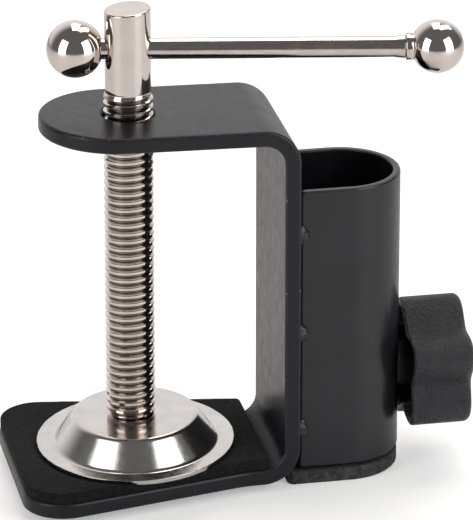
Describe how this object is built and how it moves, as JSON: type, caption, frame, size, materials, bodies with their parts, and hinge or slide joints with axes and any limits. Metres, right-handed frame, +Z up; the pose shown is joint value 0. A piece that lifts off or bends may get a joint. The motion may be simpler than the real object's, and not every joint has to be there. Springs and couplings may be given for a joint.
{
  "type": "table clamp with pole socket",
  "caption": "Screw table clamp: bent flat-bar C frame, tommy-bar screw with a pressure foot on a foam pad, and an upright pole socket closed by a thumb screw.",
  "frame": {"origin": "on the clamp screw's axis, in the plane of the lower jaw's underside", "axes": "+X from the screw to the spine, the pole socket and the knob; +Y across the strap; +Z up along the clamp screw, from the lower jaw to the tommy bar"},
  "size_m": [0.0891, 0.0448, 0.0954],
  "materials": {
    "powder_coat": "fine-textured semi-matte black powder coat",
    "nickel": "bright warm nickel plate",
    "satin_nickel": "satin-polished nickel plate",
    "foam": "matte closed-cell foam",
    "knob_plastic": "finely textured moulded plastic"
  },
  "bodies": {
    "frame": {"clamp_frame": "powder_coat", "jaw_pad": "foam", "socket_sleeve": "powder_coat", "weld_front_upper": "powder_coat", "weld_front_middle": "powder_coat", "weld_front_lower": "powder_coat", "weld_back_upper": "powder_coat", "weld_back_middle": "powder_coat", "weld_back_lower": "powder_coat", "socket_floor_plate": "powder_coat", "socket_foot_pad": "foam", "knob_nut": "powder_coat"},
    "foot": {"pressure_foot": "satin_nickel"},
    "screw": {"clamp_screw": "nickel"},
    "bar": {"tommy_bar": "nickel", "bar_ball_inner": "nickel", "bar_ball_outer": "nickel"},
    "stud": {"knob_stud": "nickel"},
    "knob": {"knob_head": "knob_plastic"}
  },
  "joints": [
    {"name": "screw_travel", "type": "slide", "parent": "frame", "child": "foot", "axis": [0, 0, 1], "range_m": [0, 0.0574]},
    {"name": "screw_turn", "type": "hinge", "parent": "foot", "child": "screw", "pos_m": [0, 0, 0.0113], "axis": [0, 0, 1], "range_deg": [0, 13017]},
    {"name": "bar_slide", "type": "slide", "parent": "screw", "child": "bar", "axis": [0.9848, -0.1736, 0], "range_m": [-0.045, 0]},
    {"name": "knob_travel", "type": "slide", "parent": "frame", "child": "stud", "axis": [1, 0, 0], "range_m": [0, 0.004]},
    {"name": "knob_turn", "type": "hinge", "parent": "stud", "child": "knob", "pos_m": [0.0533, 0, 0.0173], "axis": [1, 0, 0], "range_deg": [0, 1801]}
  ],
  "couplings": [
    {"joint": "screw_turn", "follows": "screw_travel", "rad_per_m": 3957.9},
    {"joint": "knob_turn", "follows": "knob_travel", "rad_per_m": 7854}
  ]
}
